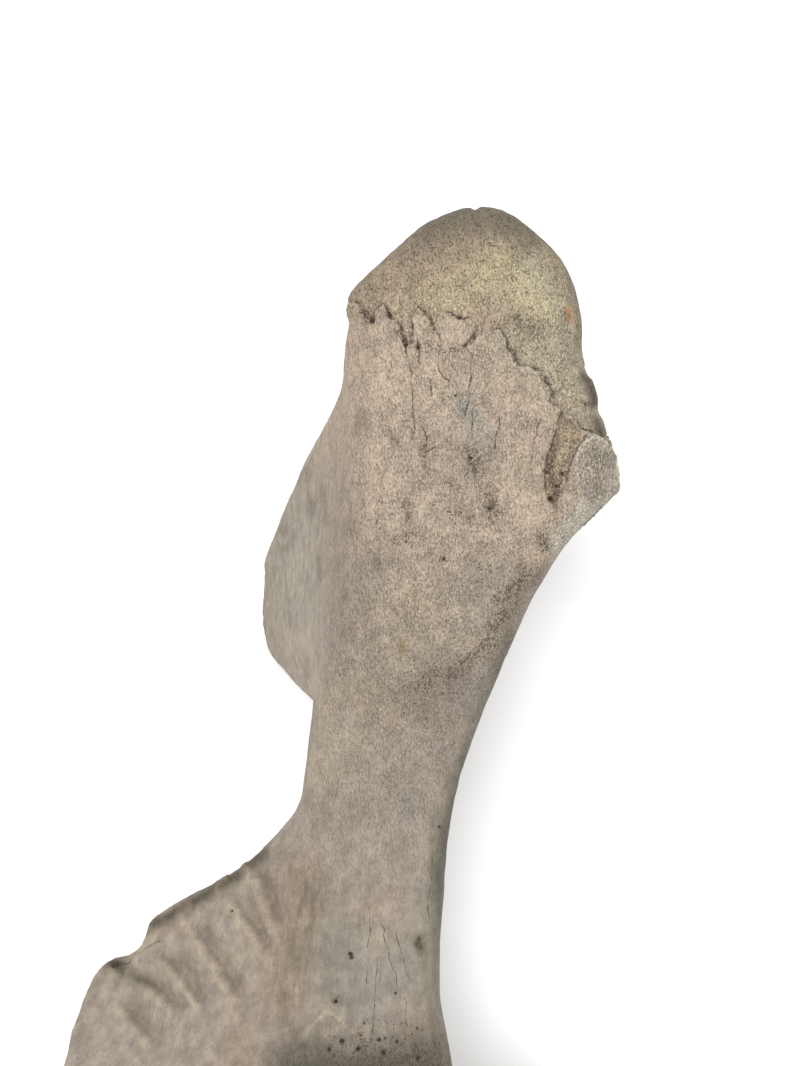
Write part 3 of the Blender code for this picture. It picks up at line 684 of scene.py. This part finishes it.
def bone_tones(at):
    """The broad colour at each point, before the fine pores and cracks."""
    points = at.points
    tone = np.tile(SHELL_GREY, (len(points), 1)).astype(float)
    tone = tinted(tone, CREAM, 0.35 * ease(layered(points, 26, 50), 0.1, 0.6))
    tone = tinted(tone, LILAC_GREY, 0.6 * ease(layered(points, 18, 51), 0.0, 0.6))
    tone = tinted(tone, PEACH, 0.25 * ease(layered(points, 22, 52), 0.2, 0.6))
    under = ease(-at.normals[:, 2], 0.1, 0.8)
    tone = tinted(tone, COOL_GREY, 0.3 * under)
    tone = tinted(tone, CAP_TAN, ease(at.cap, -0.3, 0.4))
    # Painted shade: faces turned towards the belly on the lower part are tinted dark green-grey, for the
    # shade on the neck's steep right side.
    belly_side_shade = ease(at.normals[:, 0], 0.3, 0.85) * ease(130 - points[:, 1], 0, 60)
    tone = tinted(tone, GREEN_GREY, 0.55 * belly_side_shade)
    for path, radius, colour, strength in STAINS:
        tone = tinted(tone, colour, strength * at.near(path, radius) * at.shown)
    # Painted shade in the grooves between the spine's ribs and painted highlight on the crests beside them,
    # over the grooves and crests of the surface.
    tone = tinted(tone, SMUDGE_AND_SHADE, 0.42 * at.rib_groove**1.3)
    tone = tinted(tone, CREAM, 0.35 * at.rib_crest)
    streaks = ease(layered(points @ LENGTHWISE, 1.8, 55), 0.0, 0.5)
    tone = tinted(tone, OLIVE, 0.75 * at.near(*SPINE_ROOT) * streaks)
    mottles = ease(layered(points, 3.0, 57), 0.0, 0.6)
    tone = tinted(tone, SMUDGE_AND_SHADE, 0.34 * at.near(*LOW_WING) * mottles)
    wide_streaks = ease(layered(points @ LENGTHWISE, 4.0, 56), 0.1, 0.7)
    tone = tinted(tone, SMUDGE_AND_SHADE, 0.35 * at.near(*INNER_WING) * wide_streaks)
    smudges = ease(layered(points, 7, 53), 0.2, 0.8) * ease(layered(points, 30, 54), -0.2, 0.4)
    tone = tinted(tone, SMUDGE_AND_SHADE, 0.25 * smudges)
    in_groove = ease(at.groove, -0.2, 0.4)
    tone = tinted(tone, FIBRE_BROWN, 0.75 * in_groove)
    lower_end = ease(at.pixels[:, 1], 435, 480)
    tone = tinted(tone, DARK_BROWN, in_groove * ease(at.fibres, 0.1, 0.6) * (0.30 + 0.35 * lower_end))
    tone = tinted(tone, PALE_RIM, 0.6 * in_groove * ease(-at.fibres, 0.1, 0.5))
    tone = tinted(tone, FACET_GREY, 0.85 * ease(at.facet, 0.0, 1.4))
    tone = tinted(tone, FACET_RIM, 0.9 * bell(at.facet - 0.2, 0.75) * at.facet_rim)
    right_part = ease(at.pixels[:, 0], 470, 500)
    lip = ease(at.cap, -1.6 - 0.8 * right_part, -0.4) * ease(-at.cap, 0.1, 0.4)
    tone = tinted(tone, PALE_RIM, (0.35 + 0.5 * right_part) * lip * ease(at.warp[:, 1], -0.5, 0.3))
    tone = tinted(tone, CAP_TAN, 0.7 * at.joint)
    pit = (1 - ease(at.socket_reach, 12, 18)) * ease(-at.socket_height, 2, 16)
    return tinted(tone, FIBRE_BROWN, 0.4 * pit)


def pit_density(at):
    """How closely dark pits crowd together."""
    dense = 0.35 * ease(layered(at.points, 8, 62), 0.1, 0.8) * ease(grit(at), 0.4, 0.8)
    for path, radius, strength in PIT_PATCHES:
        dense = np.maximum(dense, strength * at.near(path, radius) * at.shown)
    rim = bell(at.socket_reach - 46, 9) * ease(at.socket_height, -30, -8)
    return np.maximum(dense, np.maximum(0.6 * rim, 0.8 * at.joint))


def grit(at):
    """How strong the fine texture is: most on the outer wing and the ends, least on the smooth shaft."""
    outer_wing = ease(at.points[:, 2], 100, 160) * ease(at.points[:, 1], 10, 60)
    gritty = np.maximum(np.maximum(outer_wing, 0.8 * at.joint), ease(at.cap, -3, 0))
    gritty = 0.28 + 0.72 * gritty
    gritty = np.maximum(gritty, 1.25 * ease(at.facet, -1.5, 0.5))
    gritty = np.maximum(gritty, 1.35 * ease(at.groove, -0.3, 0.5))
    return np.maximum(gritty, 1.15 * at.near(*HORN_EDGE))


def grain_space(at):
    """Coordinates in metres squeezed along the bone, so that patterns in them run lengthwise."""
    turn = ease(at.tail, -20, 40)[:, None]
    along = TAIL * turn + np.array([0.0, -1.0, 0.0]) * (1 - turn)
    along /= np.linalg.norm(along, axis=1, keepdims=True)
    reach = (at.points * along).sum(1, keepdims=True)
    return (at.points - 0.7 * reach * along) * MM


class Shader:
    """Short names for building a material's nodes."""

    def __init__(self, name):
        self.material = bpy.data.materials.new(name)
        self.material.use_nodes = True
        self.tree = self.material.node_tree
        self.surface = self.tree.nodes["Principled BSDF"]

    def node(self, kind, inputs, **settings):
        made = self.tree.nodes.new(kind)
        for name, value in settings.items():
            setattr(made, name, value)
        for name, value in inputs.items():
            self.put(made.inputs[name], value)
        return made

    def put(self, socket, value):
        if isinstance(value, bpy.types.NodeSocket):
            self.tree.links.new(value, socket)
        else:
            socket.default_value = value

    def attribute(self, name, output="Fac"):
        return self.node("ShaderNodeAttribute", {}, attribute_name=name).outputs[output]

    def noise(self, vector, scale, detail=3.0, roughness=0.55):
        inputs = {"Vector": vector, "Scale": scale, "Detail": detail, "Roughness": roughness}
        return self.node("ShaderNodeTexNoise", inputs).outputs["Fac"]

    def cells(self, vector, scale, feature="F1"):
        inputs = {"Vector": vector, "Scale": scale}
        return self.node("ShaderNodeTexVoronoi", inputs, feature=feature).outputs["Distance"]

    def math(self, operation, *values):
        return self.node("ShaderNodeMath", dict(enumerate(values)), operation=operation).outputs[0]

    def vector_math(self, operation, inputs):
        return self.node("ShaderNodeVectorMath", inputs, operation=operation).outputs[0]

    def product(self, *values):
        total = values[0]
        for value in values[1:]:
            total = self.math("MULTIPLY", total, value)
        return total

    def span(self, value, low, high, to_low=0.0, to_high=1.0):
        inputs = {"Value": value, "From Min": low, "From Max": high, "To Min": to_low, "To Max": to_high}
        made = self.node("ShaderNodeMapRange", inputs, interpolation_type="SMOOTHSTEP")
        return made.outputs["Result"]

    def mix(self, amount, first, second, blend="MIX"):
        inputs = {0: amount, 6: first, 7: second}
        return self.node("ShaderNodeMix", inputs, data_type="RGBA", blend_type=blend).outputs[2]

    def shade(self, colour, value):
        """A colour made lighter or darker by a value round 1."""
        grey = self.node("ShaderNodeCombineColor", {0: value, 1: value, 2: value}).outputs[0]
        return self.mix(1.0, colour, grey, "MULTIPLY")

    def warped(self, vector, scale, amount):
        """A vector moved about by noise, so that patterns in it lose their straight lines."""
        inputs = {"Vector": vector, "Scale": scale, "Detail": 2.0}
        colour = self.node("ShaderNodeTexNoise", inputs).outputs["Color"]
        centred = self.vector_math("SUBTRACT", {0: colour, 1: (0.5, 0.5, 0.5)})
        moved = self.vector_math("SCALE", {0: centred, "Scale": amount})
        return self.vector_math("ADD", {0: vector, 1: moved})


class BoneShader(Shader):
    """The patterns of dry bone. A mark's value is its strength, and 0 where there is none."""

    def __init__(self):
        super().__init__("dry_bone")
        self.place = self.node("ShaderNodeTexCoord", {}).outputs["Object"]
        self.grain = self.attribute("grain", "Vector")
        self.half_grain = self.mix(0.5, self.grain, self.place)
        self.gritty = self.attribute("grit")
        self.cap = self.attribute("cap")
        self.dense = self.attribute("pits")
        self.ragged = self.noise(self.place, 1500, 3.0, 0.6)

    def mottled_tone(self):
        """The broad tones with mottles, lengthwise streaks and fine textures."""
        mottle = self.span(self.noise(self.place, 230, 5.0, 0.62), 0.3, 0.7, -0.5, 0.5)
        mottle = self.product(mottle, self.span(self.gritty, 0.28, 1.0, 0.34, 0.06))
        colour = self.shade(self.attribute("tone", "Color"), self.math("ADD", mottle, 1.0))
        streak = self.span(self.noise(self.grain, 330, 3.0, 0.6), 0.3, 0.7, 0.89, 1.09)
        colour = self.shade(colour, streak)
        # Each texture is mostly pale, with thin dark marks in it.
        textures = [(self.grain, 700, 0.12), (self.half_grain, 2600, 0.26), (self.grain, 2000, 0.60)]
        for vector, scale, strength in textures:
            noise = self.span(self.noise(vector, scale, 2.0, 0.65), 0.30, 0.58, -0.80, 0.24)
            colour = self.shade(colour, self.math("ADD", self.product(noise, self.gritty, strength), 1.0))
        return colour

    def dashes(self):
        """Short dashes along the bone."""
        dashes = self.span(self.noise(self.grain, 1500, 1.0, 0.5), 0.34, 0.44, 1.0, 0.0)
        mask = self.span(self.noise(self.place, 160, 3.0), 0.35, 0.65, 0.25, 1.0)
        return self.product(dashes, mask, self.gritty)

    def net(self):
        """A net of thin lines."""
        net = self.cells(self.warped(self.half_grain, 800, 0.0008), 950, "DISTANCE_TO_EDGE")
        net = self.span(net, 0.0, 0.16, 1.0, 0.0)
        mask = self.span(self.noise(self.place, 120, 3.0), 0.38, 0.62, 0.15, 1.0)
        return self.product(net, mask, self.gritty)

    def hairs(self):
        """Long and faint hairlines in some places."""
        hairs = self.cells(self.warped(self.grain, 420, 0.0022), 200, "DISTANCE_TO_EDGE")
        hairs = self.span(hairs, 0.008, 0.035, 1.0, 0.0)
        return self.product(hairs, self.span(self.noise(self.place, 110, 3.0), 0.46, 0.62, 0.0, 0.34))

    def pores(self):
        """Specks of many sizes, strongest on the porous ends."""
        size = self.span(self.noise(self.place, 350, 2.0), 0.35, 0.7, 0.12, 0.36)
        specks = self.cells(self.warped(self.place, 900, 0.0008), 1150)
        specks = self.span(self.math("SUBTRACT", specks, size), -0.05, 0.07, 1.0, 0.0)
        border = self.math("ADD", self.cap, self.span(self.ragged, 0.3, 0.7, -0.5, 0.5))
        on_cap = self.span(border, -0.2, 0.2)
        share = self.math("MAXIMUM", self.product(on_cap, 0.58), self.product(self.gritty, 0.24))
        return self.product(specks, share)

    def pits(self):
        """Dark pits, larger and closer where they crowd together."""
        patchy = self.span(self.noise(self.place, 600, 3.0, 0.6), 0.3, 0.7, -0.20, 0.20)
        size = self.math("ADD", self.product(self.dense, 0.54), patchy)
        pits = self.cells(self.warped(self.half_grain, 1300, 0.0005), 1850)
        pits = self.span(self.math("SUBTRACT", pits, size), -0.06, 0.07, 1.0, 0.0)
        return self.product(pits, self.span(self.dense, 0.02, 0.12))

    def cracks(self):
        wander = self.span(self.ragged, 0.3, 0.7, -0.10, 0.10)
        crack = self.math("ABSOLUTE", self.math("ADD", self.attribute("crack_side"), wander))
        width = self.span(self.noise(self.place, 300, 2.0), 0.35, 0.68, 0.03, 0.24)
        crack = self.span(self.math("DIVIDE", crack, width), 0.2, 1.1, 1.0, 0.0)
        return self.product(crack, self.span(self.attribute("cracks"), 0.35, 0.7, 1.0, 0.0))

    def vessel_holes(self):
        uneven = self.span(self.noise(self.place, 700, 3.0, 0.6), 0.3, 0.7, -0.25, 0.45)
        return self.span(self.math("ADD", self.attribute("holes"), uneven), 0.35, 0.95, 1.0, 0.0)

    def cap_border(self):
        """The broken line along the cap's ragged border."""
        border = self.math("ABSOLUTE", self.math("SUBTRACT", self.cap, 0.15))
        border = self.math("ADD", border, self.span(self.ragged, 0.3, 0.7, -0.3, 0.5))
        border = self.span(border, 0.05, 0.6, 1.0, 0.0)
        return self.product(border, self.span(self.noise(self.place, 230, 2.0), 0.42, 0.62, 0.15, 0.9))

    def crevices(self):
        """Cracks, vessel holes and the cap's border together."""
        cracks = self.product(self.cracks(), 0.72)
        holes = self.product(self.vessel_holes(), 0.92)
        return self.math("MAXIMUM", self.math("MAXIMUM", cracks, holes), self.cap_border())

    def fine_relief(self, dents):
        """Bumps of the surface with each mark dented by its share."""
        relief = self.product(self.noise(self.place, 900, 4.0, 0.65), 0.5, self.gritty)
        fibres = self.product(self.noise(self.grain, 1000, 3.0), 0.4, self.gritty)
        relief = self.math("ADD", relief, fibres)
        for mark, share in dents:
            relief = self.math("SUBTRACT", relief, self.product(mark, share))
        inputs = {"Strength": 1.0, "Distance": 0.0007, "Height": relief}
        return self.node("ShaderNodeBump", inputs).outputs[0]


def bone_material():
    """Dry bone: broad tones from the mesh, with fine mottling, pores, grain, hairline cracks and dark marks,
    among them a dark line along the cap's border.
    """
    shader = BoneShader()
    net = shader.net()
    pores = shader.pores()
    pits = shader.pits()
    crevices = shader.crevices()
    marks = [
        (shader.dashes(), 0.60, SMUDGE_AND_SHADE),
        (net, 0.5, SMUDGE_AND_SHADE),
        (shader.hairs(), 1.0, OLIVE),
        (pores, 1.0, DARK_BROWN),
        (shader.dense, 0.44, SMUDGE_AND_SHADE),
        (pits, 0.82, DARK_BROWN),
        (crevices, 1.0, CREVICE_DARK),
    ]
    colour = shader.mottled_tone()
    for mark, strength, stain in marks:
        colour = shader.mix(shader.product(mark, strength), colour, (*stain, 1))
    shader.put(shader.surface.inputs["Base Color"], colour)

    roughness = shader.span(shader.noise(shader.place, 420, 3.0), 0.3, 0.7, 0.66, 0.86)
    shader.put(shader.surface.inputs["Roughness"], roughness)
    shader.surface.inputs["Specular IOR Level"].default_value = 0.3
    shader.surface.inputs["IOR"].default_value = 1.5
    bump = shader.fine_relief([(net, 0.25), (pores, 0.9), (pits, 0.5), (crevices, 0.6)])
    shader.put(shader.surface.inputs["Normal"], bump)
    return shader.material


def make_bone():
    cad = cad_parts["os_coxae"]
    piece = fine_copy("os_coxae")
    tree = BVHTree.FromObject(cad, bpy.context.evaluated_depsgraph_get())
    at = Surface(piece, tree)
    tones = bone_tones(at) * LAMP_SHARE
    add_attribute(piece, "tone", np.concatenate([tones, np.ones((len(tones), 1))], axis=1))
    add_attribute(piece, "cap", at.cap)
    add_attribute(piece, "cracks", at.cracks)
    add_attribute(piece, "crack_side", at.crack_side)
    add_attribute(piece, "holes", at.holes)
    add_attribute(piece, "pits", pit_density(at))
    add_attribute(piece, "grit", grit(at))
    add_attribute(piece, "grain", grain_space(at))
    displace(piece, at)
    piece.data.shade_smooth()
    piece.data.materials.clear()
    piece.data.materials.append(bone_material())
    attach(piece, "root")
    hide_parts("os_coxae")


def plain_material(name, colour):
    shader = Shader(name)
    shader.surface.inputs["Base Color"].default_value = (*colour, 1)
    shader.surface.inputs["Roughness"].default_value = 0.9
    return shader.material


def make_floor():
    """A plain pale floor."""
    reach = FLOOR_REACH
    corners = [(-reach, -reach, 0), (reach, -reach, 0), (reach, reach, 0), (-reach, reach, 0)]
    mesh = bpy.data.meshes.new("floor")
    mesh.from_pydata(corners, [], [(0, 1, 2, 3)])
    mesh.materials.append(plain_material("pale_floor", FLOOR_COLOUR))
    floor = bpy.data.objects.new("floor", mesh)
    bpy.context.scene.collection.objects.link(floor)


def aim(obj, target):
    obj.rotation_mode = "QUATERNION"
    obj.rotation_quaternion = (Vector(target) - obj.location).to_track_quat("-Z", "Y")


def add_lamp(name, place, size, power):
    """A square soft box that looks at the bone's middle."""
    data = bpy.data.lights.new(name, "AREA")
    data.size = size
    data.energy = power
    lamp = bpy.data.objects.new(name, data)
    lamp.location = place
    bpy.context.scene.collection.objects.link(lamp)
    aim(lamp, LAMP_TARGET)


def make_light():
    """Soft, nearly even studio light from all round, a little stronger from near the camera."""
    add_lamp("key_light", **KEY_LIGHT)
    add_lamp("fill_light", **FILL_LIGHT)
    world = bpy.data.worlds.new("studio")
    bpy.context.scene.world = world
    world.use_nodes = True
    background = world.node_tree.nodes["Background"]
    background.inputs["Color"].default_value = (1.0, 1.0, 1.0, 1)
    background.inputs["Strength"].default_value = SKY_STRENGTH
    bpy.context.scene.view_settings.view_transform = "Standard"


def make_camera():
    data = bpy.data.cameras.new("photo_camera")
    data.sensor_width = 36
    data.lens = data.sensor_width * FOCAL_PIXELS / PHOTO_HEIGHT
    data.clip_start = 0.01
    camera = bpy.data.objects.new("photo_camera", data)
    camera.location = CAMERA_PLACE * MM
    bpy.context.scene.collection.objects.link(camera)
    aim(camera, CAMERA_TARGET * MM)
    bpy.context.scene.camera = camera


make_camera()
make_light()
make_floor()
make_bone()
